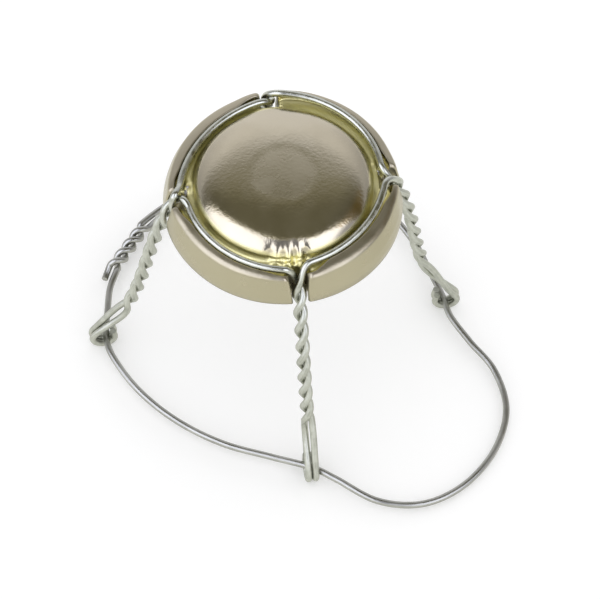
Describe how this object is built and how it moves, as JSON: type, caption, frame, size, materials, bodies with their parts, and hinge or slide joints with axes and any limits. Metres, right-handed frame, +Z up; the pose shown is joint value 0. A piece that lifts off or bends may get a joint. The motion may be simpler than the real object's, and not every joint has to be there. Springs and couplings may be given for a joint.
{
  "type": "sparkling-wine wire hood with metal cap",
  "caption": "Twisted-wire cork hood: a pressed metal cap with a wire channel and notches, splayed twisted legs, and a belt wire threaded through the leg eyes to tighten round a bottle neck.",
  "frame": {"origin": "centre of the cap's round mouth, in the plane of the skirt's lower edge", "axes": "+Z up through the cap's dome; the legs' notches lie near +X, +Y, -X and -Y (the +X one turned 3.2 degrees clockwise from above, the -X one 2.5 degrees anticlockwise), and the belt's slack loop lies towards +X and -Y"},
  "size_m": [0.055, 0.0578, 0.0366],
  "materials": {
    "cap_lacquer": "glossy",
    "cage_wire": "satin",
    "belt_wire": "satin"
  },
  "bodies": {
    "root": {"cap": "cap_lacquer", "front_right_wire": "cage_wire", "back_right_wire": "cage_wire", "back_left_wire": "cage_wire", "front_left_wire": "cage_wire", "belt_wire": "belt_wire"}
  },
  "joints": []
}
